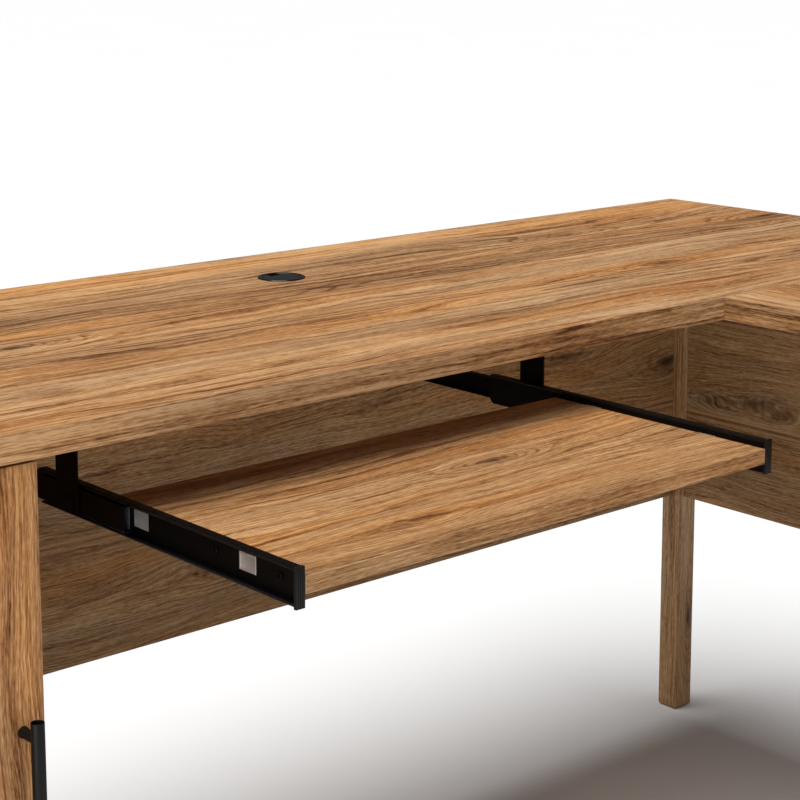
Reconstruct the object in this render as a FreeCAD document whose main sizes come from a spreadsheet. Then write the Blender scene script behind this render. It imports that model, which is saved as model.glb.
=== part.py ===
import FreeCAD, Part
import os
import re

import Sketcher

# Corner desk: a main top on a door cabinet and a corner leg, a return top on two end
# legs, modesty panels, and a keyboard shelf that slides on rails hung from straps.
# Frame: Z up, origin on the floor at the middle of the footprint, +Y to the back of
# the main top, +X to the side that carries the return.

Vector = FreeCAD.Vector
doc = FreeCAD.newDocument("CornerDesk")

# Driving dimensions, in millimetres.
sizes = {
    # tops
    "desk_width": 1803,
    "desk_depth": 1626,
    "desk_height": 757,
    "main_depth": 559,
    "return_width": 559,
    "top_thick": 25,
    "edge_round": 0.8,
    # legs and panels
    "leg_size": 33.7,
    "leg_inset_side": 24,
    "leg_inset_back": 47,
    "leg_inset_end": 24,
    "glide_height": 2,
    "glide_radius": 11,
    "board_thick": 16,
    "panel_bottom": 327,
    "apron_high": 100,
    # cable grommet
    "grommet_side": 844,
    "grommet_back": 147,
    "grommet_radius": 24,
    "flange_radius": 27.5,
    "flange_thick": 1.6,
    "liner_wall": 1.6,
    "liner_depth": 22,
    "ledge_drop": 3,
    "ledge_wide": 1.8,
    "ledge_thick": 3,
    "notch_wide": 14,
    "notch_deep": 13,
    # cabinet
    "case_overhang": 6,
    "case_width": 390,
    "case_inset_back": 30,
    "toe_height": 60,
    "toe_setback": 40,
    "stretcher_wide": 80,
    "shelf_height": 380,
    "shelf_setback": 22,
    "shelf_play": 1,
    "pin_radius": 2.5,
    "pin_length": 15,
    "pin_inset": 60,
    # cabinet joinery
    "cam_radius": 7.3,
    "cam_high": 12,
    "cam_inset": 24,
    "cam_bolt_radius": 3,
    "cam_from_end": 70,
    # door
    "door_setback": 4,
    "door_gap": 2,
    "door_top_gap": 3,
    "door_reveal": 1.5,
    "pull_radius": 5.8,
    "pull_wall": 1,
    "pull_length": 200,
    "pull_top": 522,
    "pull_inset": 20.2,
    "pull_reach": 23,
    "post_radius": 5.1,
    "post_from_end": 15.6,
    # hinges
    "hinge_high": 50,
    "hinge_from_end": 80,
    "knuckle_radius": 2.6,
    "hinge_pin_radius": 1.2,
    "leaf_thick": 0.85,
    "leaf_wide": 14,
    # door catch and bumpers
    "catch_wide": 40,
    "catch_high": 12,
    "catch_deep": 14,
    "strike_thick": 1.6,
    "bumper_radius": 4,
    # keyboard shelf
    "tray_width": 559,
    "tray_depth": 278,
    "tray_thick": 15,
    "tray_drop": 71,
    "tray_offset": 109,
    "tray_pull": 200.5,
    "rail_length": 374,
    "rail_above": 7.3,
    "rail_below": 9.4,
    "rail_deep": 8,
    "slide_wall": 1.2,
    "slide_step": 4.4,
    "slide_inner": 3,
    "slide_setback": 34.5,
    "slide_length": 350,
    "rail_corner": 4,
    "cap_length": 3,
    "cap_offset": 0.6,
    "cap_proud": 1,
    "cap_deep": 9,
    "window_wide": 22,
    "window_margin": -0.4,
    "window_first": 61.3,
    "window_second": 211.5,
    "cage_length": 130,
    "cage_wall": 0.8,
    # straps that carry the slides
    "strap_wide": 35,
    "strap_thick": 2,
    "strap_setback": 105.6,
    "strap_flange": 26,
    # steel brackets and plates
    "bracket_wide": 18,
    "bracket_leg": 22,
    "bracket_thick": 1.8,
    "plate_long": 90,
    "plate_wide": 36,
    "plate_thick": 2,
    # screws and rivets
    "screw_radius": 1.9,
    "screw_long": 12,
    "head_radius": 3.8,
    "head_thick": 1.6,
    "rivet_radius": 2,
    "rivet_head": 3.5,
    "rivet_thick": 0.8,
    # clearances
    "fit_gap": 0.1,
    "play": 0.3,
}

# Places that follow from the driving dimensions.
places = {
    "left_edge": "-desk_width / 2",
    "right_edge": "desk_width / 2",
    "back_edge": "desk_depth / 2",
    "end_edge": "-desk_depth / 2",
    "front_edge": "back_edge - main_depth",
    "return_left": "right_edge - return_width",
    "under_top": "desk_height - top_thick",
    "grommet_x": "right_edge - grommet_side",
    "grommet_y": "back_edge - grommet_back",
    "liner_radius": "grommet_radius - fit_gap",
    "ledge_top": "desk_height + flange_thick - ledge_drop",
    "corner_leg_x": "right_edge - leg_inset_side - leg_size",
    "corner_leg_y": "back_edge - leg_inset_back - leg_size",
    "inner_leg_x": "return_left + leg_inset_side",
    "end_leg_y": "end_edge + leg_inset_end",
    "panel_high": "under_top - panel_bottom",
    "back_panel_y": "back_edge - leg_inset_back - board_thick",
    "return_panel_x": "corner_leg_x + (leg_size - board_thick) / 2",
    "end_rail_y": "end_leg_y + (leg_size - board_thick) / 2",
    "case_left": "left_edge + case_overhang",
    "case_right": "case_left + case_width",
    "case_back": "back_edge - case_inset_back",
    "case_inner_left": "case_left + board_thick",
    "case_inner_right": "case_right - board_thick",
    "case_inside": "case_width - 2 * board_thick",
    "door_front": "front_edge + door_setback",
    "door_back": "door_front + board_thick",
    "case_front": "door_back + door_gap",
    "case_depth": "case_back - case_front",
    "case_side_high": "under_top - glide_height",
    "door_left": "case_left + door_reveal",
    "door_right": "case_right - door_reveal",
    "door_top": "under_top - door_top_gap",
    "pull_x": "door_right - pull_inset",
    "pull_y": "door_front - pull_reach",
    "hinge_x": "case_left - knuckle_radius - play",
    "hinge_y": "door_back + door_gap / 2",
    "tray_left": "case_right + tray_offset",
    "tray_right": "tray_left + tray_width",
    "tray_top": "under_top - tray_drop",
    "tray_bottom": "tray_top - tray_thick",
    "tray_middle": "tray_top - tray_thick / 2",
    "tray_front": "front_edge - tray_pull",
    "rail_bottom": "tray_bottom - rail_below",
    "rail_top": "tray_top + rail_above",
    "rail_high": "rail_top - rail_bottom",
    "rail_front": "tray_front + cap_length",
    "slide_bottom": "rail_bottom + slide_step",
    "slide_high": "rail_high - 2 * slide_step",
    "slide_outer": "rail_deep + slide_wall + 0.8",
    "rail_rear": "rail_front + rail_length",
    "slide_middle": "slide_bottom + slide_high / 2",
    "slide_front": "front_edge + slide_setback",
    "lane": "slide_step - slide_wall",
    "lane_low": "rail_bottom + slide_wall + lane / 2",
    "lane_high": "rail_top - slide_wall - lane / 2",
    "cage_front": "slide_front + 4",
    "front_strap_y": "front_edge + strap_setback",
    "rear_strap_y": "slide_front + slide_length - strap_setback + slide_setback - strap_wide",
}

turns = {
    "+Z": FreeCAD.Rotation(),
    "-Z": FreeCAD.Rotation(Vector(1, 0, 0), 180),
    "+X": FreeCAD.Rotation(Vector(0, 1, 0), 90),
    "-X": FreeCAD.Rotation(Vector(0, 1, 0), -90),
    "+Y": FreeCAD.Rotation(Vector(1, 0, 0), -90),
    "-Y": FreeCAD.Rotation(Vector(1, 0, 0), 90),
}

nodes = []


def make_sheet():
    sheet = doc.addObject("Spreadsheet::Sheet", "Sizes")
    for row, (alias, value) in enumerate(sizes.items(), start=1):
        sheet.set("A%d" % row, alias)
        sheet.set("B%d" % row, str(value))
        sheet.setAlias("B%d" % row, alias)
    doc.recompute()


def formula(text):
    """Write an expression in the sheet's aliases, with every place spelled out."""
    def swap(match):
        word = match.group()
        if word in places:
            return "(" + formula(places[word]) + ")"
        if word in sizes:
            return "Sizes." + word
        return word
    return re.sub(r"[a-z][a-z_]*", swap, str(text))


def place(item, x, y, z):
    item.setExpression("Placement.Base.x", formula(x))
    item.setExpression("Placement.Base.y", formula(y))
    item.setExpression("Placement.Base.z", formula(z))


def keep(item, name):
    item.Label = name
    nodes.append(item)
    return item


def box(name, x, y, z, length, width, height):
    item = doc.addObject("Part::Box", name)
    item.setExpression("Length", formula(length))
    item.setExpression("Width", formula(width))
    item.setExpression("Height", formula(height))
    place(item, x, y, z)
    return item


def rod(name, x, y, z, radius, length, direction="+Z"):
    item = doc.addObject("Part::Cylinder", name)
    item.Placement = FreeCAD.Placement(Vector(), turns[direction])
    item.setExpression("Radius", formula(radius))
    item.setExpression("Height", formula(length))
    place(item, x, y, z)
    return item


def ball(name, x, y, z, radius):
    item = doc.addObject("Part::Sphere", name)
    item.setExpression("Radius", formula(radius))
    place(item, x, y, z)
    return item


def group(name, parts):
    item = doc.addObject("Part::Compound", name)
    item.Links = parts
    return item


def fuse(name, parts):
    item = doc.addObject("Part::MultiFuse", name)
    item.Shapes = parts
    return item


def cut(name, base, tools):
    item = doc.addObject("Part::Cut", name)
    item.Base = base
    item.Tool = tools[0] if len(tools) == 1 else group(name + "_tools", tools)
    return item


def origin_plane(body, role):
    return next(each for each in body.Origin.OriginFeatures if each.Role == role)


def outline(body, length, width):
    """A rectangle on the body's XY plane with one corner at its origin."""
    sketch = body.newObject("Sketcher::SketchObject", body.Name + "_outline")
    sketch.AttachmentSupport = (origin_plane(body, "XY_Plane"), [""])
    sketch.MapMode = "FlatFace"
    corners = [Vector(0, 0), Vector(50, 0), Vector(50, 30), Vector(0, 30)]
    for index in range(4):
        sketch.addGeometry(Part.LineSegment(corners[index], corners[(index + 1) % 4]), False)
    for index in range(4):
        sketch.addConstraint(Sketcher.Constraint("Coincident", index, 2, (index + 1) % 4, 1))
    for index in (0, 2):
        sketch.addConstraint(Sketcher.Constraint("Horizontal", index))
        sketch.addConstraint(Sketcher.Constraint("Vertical", index + 1))
    sketch.addConstraint(Sketcher.Constraint("Coincident", 0, 1, -1, 1))
    sketch.addConstraint(Sketcher.Constraint("DistanceX", 0, 1, 0, 2, 50))
    sketch.addConstraint(Sketcher.Constraint("DistanceY", 1, 1, 1, 2, 30))
    last = sketch.ConstraintCount - 1
    sketch.renameConstraint(last - 1, "across")
    sketch.renameConstraint(last, "along")
    sketch.setExpression("Constraints.across", formula(length))
    sketch.setExpression("Constraints.along", formula(width))
    return sketch


def board(name, x, y, z, length, width, height, rounding="edge_round"):
    """A padded rectangle with every edge eased."""
    body = doc.addObject("PartDesign::Body", name)
    pad = body.newObject("PartDesign::Pad", name + "_pad")
    pad.Profile = outline(body, length, width)
    pad.setExpression("Length", formula(height))
    doc.recompute()
    fillet = body.newObject("PartDesign::Fillet", name + "_eased")
    fillet.Base = (pad, ["Edge%d" % (index + 1) for index in range(12)])
    fillet.setExpression("Radius", formula(rounding))
    body.Tip = fillet
    place(body, x, y, z)
    return body


def tube(name, x, y, z, outer, inner, length):
    """A round tube along Z, as a padded ring."""
    body = doc.addObject("PartDesign::Body", name)
    sketch = body.newObject("Sketcher::SketchObject", name + "_ring")
    sketch.AttachmentSupport = (origin_plane(body, "XY_Plane"), [""])
    sketch.MapMode = "FlatFace"
    for index, (label, radius) in enumerate((("outer", outer), ("inner", inner))):
        sketch.addGeometry(Part.Circle(Vector(), Vector(0, 0, 1), 10 - 3 * index), False)
        sketch.addConstraint(Sketcher.Constraint("Coincident", index, 3, -1, 1))
        spot = sketch.addConstraint(Sketcher.Constraint("Radius", index, 10 - 3 * index))
        sketch.renameConstraint(spot, label)
        sketch.setExpression("Constraints." + label, formula(radius))
    pad = body.newObject("PartDesign::Pad", name + "_pad")
    pad.Profile = sketch
    pad.setExpression("Length", formula(length))
    body.Tip = pad
    place(body, x, y, z)
    return body


def step(text, direction, amount):
    """Move a coordinate triple by an amount along a signed axis."""
    moved = list(text)
    axis = "XYZ".index(direction[1])
    moved[axis] = "%s %s (%s)" % (moved[axis], direction[0], amount)
    return moved


def screw(name, spot, direction, length="screw_long"):
    """A pan-head screw whose head sits on spot and whose shank goes along direction."""
    opposite = {"+": "-", "-": "+"}[direction[0]] + direction[1]
    head = rod(name + "_head", *step(spot, opposite, "head_thick"),
               "head_radius", "head_thick", direction)
    shank = rod(name + "_shank", *spot, "screw_radius", length, direction)
    return fuse(name, [head, shank])


def pilot(name, spot, direction, length="screw_long"):
    """The hole that a screw's shank fills, a little wider and deeper."""
    return rod(name, *spot, "screw_radius + fit_gap", "%s + play" % length, direction)


def screws(name, spots):
    """One node of identical screws."""
    made = []
    for index, (spot, direction) in enumerate(spots):
        made.append(screw("%s_%d" % (name, index), spot, direction))
    return keep(group(name, made), name)


def pilots(name, spots):
    holes = []
    for index, (spot, direction) in enumerate(spots):
        holes.append(pilot("%s_%d" % (name, index), spot, direction))
    return holes


def drilled(name, blank, spots, others=()):
    """A board with the pilot holes of its screws and any other cutters."""
    blank.Label = name + "_blank"
    return keep(cut(name, blank, pilots(name + "_hole", spots) + list(others)), name)


# ---- where the screws go -------------------------------------------------------------

def seam_spots():
    """Screws of the flat plates that cross the seam between the two tops."""
    main, side = [], []
    for share in ("0.14", "0.5", "0.86"):
        for offset in ("-plate_wide / 4", "plate_wide / 4"):
            x = "return_left + return_width * %s + %s" % (share, offset)
            z = "under_top - plate_thick"
            main.append(((x, "front_edge + plate_long / 3", z), "+Z"))
            side.append(((x, "front_edge - plate_long / 3", z), "+Z"))
    return main, side


def bracket_corners():
    """Corner of each angle bracket: name of its board, place, and the way it faces."""
    span = "(corner_leg_x - case_right)"
    run = "(corner_leg_y - end_leg_y - leg_size)"
    spots = []
    for share in ("0.08", "0.5", "0.92"):
        x = "case_right + %s * %s" % (span, share)
        spots.append(("back_panel", (x, "back_panel_y + board_thick", "under_top"), "+Y"))
    for share in ("0.08", "0.5"):
        y = "end_leg_y + leg_size + %s * %s" % (run, share)
        spots.append(("return_panel", ("return_panel_x + board_thick", y, "under_top"), "+X"))
    for share in ("0.2", "0.8"):
        x = "inner_leg_x + leg_size + (corner_leg_x - inner_leg_x - leg_size) * %s" % share
        spots.append(("end_rail", (x, "end_rail_y + board_thick", "under_top"), "+Y"))
    middle = "leg_size / 2"
    spots.append(("corner_leg", ("corner_leg_x + " + middle, "corner_leg_y + leg_size",
                                 "under_top"), "+Y"))
    for name, x in (("return_outer_leg", "corner_leg_x"), ("return_inner_leg", "inner_leg_x")):
        spots.append((name, (x + " + " + middle, "end_leg_y", "under_top"), "-Y"))
    return spots


def bracket_screw_spots(corner, facing):
    """The screw up into the top and the screw sideways into the board."""
    opposite = {"+": "-", "-": "+"}[facing[0]] + facing[1]
    reach = "bracket_leg * 0.6"
    up = step(step(corner, facing, reach), "-Z", "bracket_thick")
    across = step(step(corner, facing, "bracket_thick"), "-Z", reach)
    return (up, "+Z"), (across, opposite)


def strap_sides():
    for side in ("left", "right"):
        for end in ("front", "rear"):
            yield side, end, end + "_strap_y"


def outboard(side, near, far):
    """X of the lower corner and the length of a piece that lies between two distances
    outward from the shelf's side edge."""
    length = "(%s) - (%s)" % (far, near)
    if side == "left":
        return "tray_left - (%s)" % far, length
    return "tray_right + (%s)" % near, length


def outward(side):
    return "-X" if side == "left" else "+X"


def strap_screw_spots():
    spots = []
    for side, end, y in strap_sides():
        x, _ = outboard(side, "slide_outer + strap_thick + strap_flange / 2",
                        "slide_outer + strap_thick + strap_flange / 2")
        for share in ("0.25", "0.75"):
            spots.append(((x, "%s + strap_wide * %s" % (y, share),
                           "under_top - strap_thick"), "+Z"))
    return spots


def stretcher_spots():
    spots = []
    for y in ("case_front + stretcher_wide / 2", "case_back - board_thick - stretcher_wide / 2"):
        for share in ("0.2", "0.8"):
            x = "case_inner_left + case_inside * %s" % share
            spots.append(((x, y, "under_top - board_thick"), "+Z"))
    return spots


def tray_screw_spots(side):
    x, _ = outboard(side, "slide_wall", "slide_wall")
    inward = {"-X": "+X", "+X": "-X"}[outward(side)]
    spots = []
    for along in ("30", "115"):
        spots.append(((x, "tray_front + " + along, "tray_middle"), inward))
    return spots


# ---- tops, legs and panels -------------------------------------------------------------

def make_tops():
    main_seam, side_seam = seam_spots()
    main_screws = list(main_seam) + strap_screw_spots()
    side_screws = list(side_seam)
    for name, corner, facing in bracket_corners():
        up, _ = bracket_screw_spots(corner, facing)
        over_return = name in ("return_panel", "end_rail", "return_outer_leg", "return_inner_leg")
        (side_screws if over_return else main_screws).append(up)
    for spot, direction in stretcher_spots():
        main_screws.append((step(spot, "+Z", "board_thick"), direction))

    blank = board("main_blank", "left_edge", "front_edge", "under_top",
                  "desk_width", "main_depth", "top_thick")
    bore = rod("grommet_bore", "grommet_x", "grommet_y", "under_top - 1",
               "grommet_radius", "top_thick + 2")
    drilled("main_top", blank, main_screws, [bore])

    blank = board("return_blank", "return_left", "end_edge", "under_top",
                  "return_width", "desk_depth - main_depth", "top_thick")
    drilled("return_top", blank, side_screws)


def make_board_with_brackets(name, *box_sizes):
    spots = []
    for owner, corner, facing in bracket_corners():
        if owner == name:
            _, across = bracket_screw_spots(corner, facing)
            spots.append((step(across[0], across[1], "bracket_thick"), across[1]))
    drilled(name, board(name + "_body", *box_sizes), spots)


def make_legs():
    high = "under_top - glide_height"
    spots = {
        "corner_leg": ("corner_leg_x", "corner_leg_y"),
        "return_outer_leg": ("corner_leg_x", "end_leg_y"),
        "return_inner_leg": ("inner_leg_x", "end_leg_y"),
    }
    for name, (x, y) in spots.items():
        make_board_with_brackets(name, x, y, "glide_height", "leg_size", "leg_size", high)


def make_panels():
    make_board_with_brackets(
        "back_panel", "case_right", "back_panel_y", "panel_bottom",
        "corner_leg_x - case_right", "board_thick", "panel_high")
    make_board_with_brackets(
        "return_panel", "return_panel_x", "end_leg_y + leg_size", "panel_bottom",
        "board_thick", "corner_leg_y - end_leg_y - leg_size", "panel_high")
    make_board_with_brackets(
        "end_rail", "inner_leg_x + leg_size", "end_rail_y", "under_top - apron_high",
        "corner_leg_x - inner_leg_x - leg_size", "board_thick", "apron_high")


def make_glides():
    half = "leg_size / 2"
    side = "board_thick / 2"
    spots = [
        ("corner_leg_x + " + half, "corner_leg_y + " + half),
        ("corner_leg_x + " + half, "end_leg_y + " + half),
        ("inner_leg_x + " + half, "end_leg_y + " + half),
    ]
    for x in ("case_left + " + side, "case_right - " + side):
        for y in ("case_front + 45", "case_back - 45"):
            spots.append((x, y))
    made = []
    for index, (x, y) in enumerate(spots):
        radius = "glide_radius" if index < 3 else "board_thick / 2 - 1"
        made.append(rod("glide_%d" % index, x, y, "0", radius, "glide_height"))
    keep(group("floor_glides", made), "floor_glides")


# ---- steel hardware under the tops -----------------------------------------------------

def make_seam_plates():
    main, side = seam_spots()
    made = []
    for index, share in enumerate(("0.14", "0.5", "0.86")):
        x = "return_left + return_width * %s - plate_wide / 2" % share
        plate = box("seam_plate_%d_blank" % index, x, "front_edge - plate_long / 2",
                    "under_top - plate_thick", "plate_wide", "plate_long", "plate_thick")
        holes = []
        for number, (spot, direction) in enumerate(main[2 * index:2 * index + 2]
                                                   + side[2 * index:2 * index + 2]):
            holes.append(pilot("seam_plate_%d_hole_%d" % (index, number), spot, direction))
        made.append(cut("seam_plate_%d" % index, plate, holes))
    keep(group("seam_plates", made), "seam_plates")
    screws("seam_screws", main + side)


def make_brackets():
    """Angle brackets: one leg flat against the board, one flat under the top."""
    turned = {"+Y": 0, "+X": -90, "-Y": 180}
    made, spots = [], []
    for index, (_, corner, facing) in enumerate(bracket_corners()):
        name = "bracket_%d" % index
        wide = "-bracket_wide / 2"
        upright = box(name + "_upright", wide, "0", "-bracket_leg",
                      "bracket_wide", "bracket_thick", "bracket_leg")
        flat = box(name + "_flat", wide, "0", "-bracket_thick",
                   "bracket_wide", "bracket_leg", "bracket_thick")
        reach = "bracket_leg * 0.6"
        up_hole = rod(name + "_up", "0", reach, "-bracket_thick - 1",
                      "screw_radius + fit_gap", "bracket_thick + 2")
        side_hole = rod(name + "_side", "0", "-1", "-(%s)" % reach,
                        "screw_radius + fit_gap", "bracket_thick + 2", "+Y")
        angle = fuse(name + "_angle", [upright, flat])
        drilled_angle = cut(name, angle, [up_hole, side_hole])
        drilled_angle.Placement = FreeCAD.Placement(
            Vector(), FreeCAD.Rotation(Vector(0, 0, 1), turned[facing]))
        place(drilled_angle, *corner)
        made.append(drilled_angle)
        spots.extend(bracket_screw_spots(corner, facing))
    keep(group("corner_brackets", made), "corner_brackets")
    screws("bracket_screws", spots)


# ---- cable grommet ---------------------------------------------------------------------

def make_grommet():
    x, y = "grommet_x", "grommet_y"
    flange = rod("liner_flange", x, y, "desk_height", "flange_radius", "flange_thick")
    sleeve = rod("liner_sleeve", x, y, "desk_height - liner_depth",
                 "liner_radius", "liner_depth + flange_thick")
    seat = rod("liner_seat", x, y, "ledge_top",
               "liner_radius - liner_wall", "ledge_drop + 1")
    throat = rod("liner_throat", x, y, "desk_height - liner_depth - 1",
                 "liner_radius - liner_wall - ledge_wide", "liner_depth + 5")
    below = rod("liner_below", x, y, "desk_height - liner_depth - 1",
                "liner_radius - liner_wall", "ledge_top - ledge_thick - desk_height + liner_depth + 1")
    ring = fuse("liner_ring", [flange, sleeve])
    keep(cut("grommet_liner", ring, [seat, throat, below]), "grommet_liner")

    disc = rod("cap_disc", x, y, "ledge_top",
               "liner_radius - liner_wall - play", "ledge_drop - play")
    notch = box("cap_notch", "grommet_x - notch_wide / 2",
                "grommet_y + liner_radius - liner_wall - notch_deep", "ledge_top - 1",
                "notch_wide", "notch_deep + 5", "ledge_drop + 2")
    keep(cut("grommet_cap", disc, [notch]), "grommet_cap")


# ---- cabinet ---------------------------------------------------------------------------

def pin_spots():
    """Shelf pins: the face they stand out of, with the way into the cabinet."""
    z = "shelf_height - pin_radius - fit_gap"
    spots = []
    for y in ("case_front + shelf_setback + pin_inset", "case_back - board_thick - pin_inset"):
        spots.append(("left", ("case_inner_left - pin_length / 2", y, z), "+X"))
        spots.append(("right", ("case_inner_right + pin_length / 2", y, z), "-X"))
    return spots


def cam_spots():
    """Cam locks: the board they sit in, the side they pull on, and their centre."""
    spots = []
    inner = {"left": "case_inner_left + cam_inset", "right": "case_inner_right - cam_inset"}
    for side, x in inner.items():
        for y in ("case_front + cam_from_end", "case_back - board_thick - cam_from_end"):
            spots.append(("case_bottom", side, (x, y, "toe_height")))
        spots.append(("front_stretcher", side,
                      (x, "case_front + stretcher_wide / 4", "under_top - board_thick")))
        spots.append(("back_stretcher", side,
                      (x, "case_back - board_thick - stretcher_wide / 4",
                       "under_top - board_thick")))
    return spots


def cam_bolt_start(side, spot):
    """The bolt starts inside the side panel and ends at the cam's rim."""
    start = {"left": "case_inner_left - board_thick / 2",
             "right": "case_inner_right + board_thick / 2"}[side]
    return (start, spot[1], spot[2] + " + board_thick / 2")


def cam_cutters(board_name):
    """Pockets for the cams and bores for their bolts in one board."""
    cutters = []
    for index, (owner, side, spot) in enumerate(cam_spots()):
        toward = "+X" if side == "left" else "-X"
        reach = "board_thick / 2 + cam_inset - cam_radius"
        tag = "%s_%d" % (board_name, index)
        if owner == board_name:
            cutters.append(rod("cam_pocket_" + tag, spot[0], spot[1], spot[2] + " - 1",
                               "cam_radius + fit_gap", "cam_high + 1 + play"))
        if owner == board_name or board_name == "case_%s_side" % side:
            cutters.append(rod("bolt_bore_" + tag, *cam_bolt_start(side, spot),
                               "cam_bolt_radius + fit_gap", reach, toward))
    return cutters


def make_case_sides():
    for side, x in (("left", "case_left"), ("right", "case_inner_right")):
        name = "case_%s_side" % side
        blank = board(name + "_body", x, "case_front", "glide_height",
                      "board_thick", "case_depth", "case_side_high")
        cutters = cam_cutters(name)
        for index, (owner, spot, direction) in enumerate(pin_spots()):
            if owner == side:
                cutters.append(rod("%s_pin_bore_%d" % (name, index), *spot,
                                   "pin_radius + fit_gap", "pin_length", direction))
        spots = []
        if side == "left":
            spots = hinge_screw_spots("case")
        drilled(name, blank, spots, cutters)


def make_case_boards():
    x = "case_inner_left"
    wide = "case_inside"
    blank = board("case_bottom_body", x, "case_front", "toe_height",
                  wide, "case_depth - board_thick", "board_thick")
    drilled("case_bottom", blank, [], cam_cutters("case_bottom"))

    keep(board("case_back", x, "case_back - board_thick", "toe_height",
               wide, "board_thick", "under_top - toe_height"), "case_back")

    z = "under_top - board_thick"
    fronts = {
        "front_stretcher": "case_front",
        "back_stretcher": "case_back - board_thick - stretcher_wide",
    }
    for index, (name, y) in enumerate(fronts.items()):
        blank = board(name + "_body", x, y, z, wide, "stretcher_wide", "board_thick")
        holes = []
        for number, (spot, direction) in enumerate(stretcher_spots()[2 * index:2 * index + 2]):
            holes.append(rod("%s_through_%d" % (name, number), *step(spot, "-Z", "1"),
                             "screw_radius + fit_gap", "board_thick + 2", direction))
        drilled(name, blank, [], cam_cutters(name) + holes)

    keep(board("toe_kick", x, "case_front + toe_setback", "glide_height",
               wide, "board_thick", "toe_height - glide_height"), "toe_kick")
    keep(board("shelf", "case_inner_left + shelf_play", "case_front + shelf_setback",
               "shelf_height", "case_inside - 2 * shelf_play",
               "case_depth - shelf_setback - board_thick - shelf_play", "board_thick"), "shelf")


def make_case_hardware():
    pins = []
    for index, (_, spot, direction) in enumerate(pin_spots()):
        pins.append(rod("pin_%d" % index, *step(spot, direction, "fit_gap"), "pin_radius",
                        "pin_length - fit_gap", direction))
    keep(group("shelf_pins", pins), "shelf_pins")

    cams, bolts = [], []
    for index, (_, side, spot) in enumerate(cam_spots()):
        toward = "+X" if side == "left" else "-X"
        cams.append(rod("cam_%d" % index, spot[0], spot[1], spot[2], "cam_radius", "cam_high"))
        start = step(cam_bolt_start(side, spot), toward, "fit_gap")
        bolts.append(rod("bolt_%d" % index, *start, "cam_bolt_radius",
                         "board_thick / 2 + cam_inset - cam_radius - 3 * fit_gap", toward))
    keep(group("cam_locks", cams), "cam_locks")
    keep(group("cam_bolts", bolts), "cam_bolts")

    made = []
    for index, (spot, direction) in enumerate(stretcher_spots()):
        made.append(screw("stretcher_screw_%d" % index, spot, direction,
                          "board_thick + screw_long"))
    keep(group("stretcher_screws", made), "stretcher_screws")


# ---- door ------------------------------------------------------------------------------

def post_spots():
    return ("pull_top - post_from_end", "pull_top - pull_length + post_from_end")


def make_door():
    holes = []
    for index, z in enumerate(post_spots()):
        holes.append(rod("door_pull_hole_%d" % index, "pull_x", "door_front - 1", z,
                         "screw_radius + 2 * fit_gap", "board_thick + 2", "+Y"))
    blank = board("door_body", "door_left", "door_front", "toe_height",
                  "door_right - door_left", "board_thick", "door_top - toe_height")
    drilled("door", blank, hinge_screw_spots("door"), holes)


def make_pull():
    keep(tube("bar_pull", "pull_x", "pull_y", "pull_top - pull_length",
              "pull_radius", "pull_radius - pull_wall", "pull_length"), "bar_pull")
    posts, made = [], []
    for index, z in enumerate(post_spots()):
        stem = rod("post_stem_%d" % index, "pull_x", "door_front", z,
                   "post_radius", "pull_reach", "-Y")
        saddle = rod("post_saddle_%d" % index, "pull_x", "pull_y", z + " - 2 * post_radius",
                     "pull_radius + fit_gap / 2", "4 * post_radius")
        tapped = rod("post_tapped_%d" % index, "pull_x", "door_front + 1", z,
                     "screw_radius + fit_gap", "screw_long + 1 + play", "-Y")
        posts.append(cut("post_%d" % index, stem, [saddle, tapped]))
        made.append(screw("pull_screw_%d" % index, ("pull_x", "door_back", z), "-Y",
                          "board_thick + screw_long"))
    keep(group("pull_posts", posts), "pull_posts")
    keep(group("pull_screws", made), "pull_screws")


# ---- hinges ----------------------------------------------------------------------------

def hinge_bottoms():
    return ("toe_height + hinge_from_end", "door_top - hinge_from_end - hinge_high")


def hinge_screw_spots(owner):
    """Screws through the leaves, into the door's back or the side's front edge."""
    y, direction = ("case_front", "+Y") if owner == "case" else ("door_back", "-Y")
    spots = []
    for z in hinge_bottoms():
        for share in ("0.2", "0.8"):
            spots.append((("case_left + board_thick / 2", y,
                           "%s + hinge_high * %s" % (z, share)), direction))
    return spots


def hinge_leaf(name, owner, z):
    """A leaf with its knuckles: the case has the outer two, the door the middle one."""
    third = "hinge_high / 3"
    y = "case_front - leaf_thick" if owner == "case" else "door_back"
    start = "hinge_x + knuckle_radius + play"
    plate = box(name + "_plate", start, y, z,
                "case_left + leaf_wide - (%s)" % start, "leaf_thick", "hinge_high")
    levels = (z, z + " + 2 * " + third) if owner == "case" else (z + " + " + third,)
    knuckles = [plate]
    for index, level in enumerate(levels):
        low, high = level + " + play / 2", third + " - play"
        knuckles.append(rod("%s_knuckle_%d" % (name, index), "hinge_x", "hinge_y", low,
                            "knuckle_radius", high))
        knuckles.append(box("%s_web_%d" % (name, index), "hinge_x", y, low,
                            "knuckle_radius + 2 * play", "leaf_thick", high))
    bore = rod(name + "_bore", "hinge_x", "hinge_y", z + " - 1",
               "hinge_pin_radius + fit_gap / 2", "hinge_high + 2")
    holes = [bore]
    for index, share in enumerate(("0.2", "0.8")):
        holes.append(rod("%s_hole_%d" % (name, index), "case_left + board_thick / 2",
                         "%s - 1" % y, "%s + hinge_high * %s" % (z, share),
                         "screw_radius + fit_gap", "leaf_thick + 2", "+Y"))
    return cut(name, fuse(name + "_whole", knuckles), holes)


def hinge_screw(name, owner, spot, direction):
    """A flat-head screw that ends flush with the leaf."""
    back = {"+Y": "-Y", "-Y": "+Y"}[direction]
    return rod(name, *step(spot, back, "leaf_thick"), "screw_radius",
               "leaf_thick + screw_long", direction)


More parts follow.
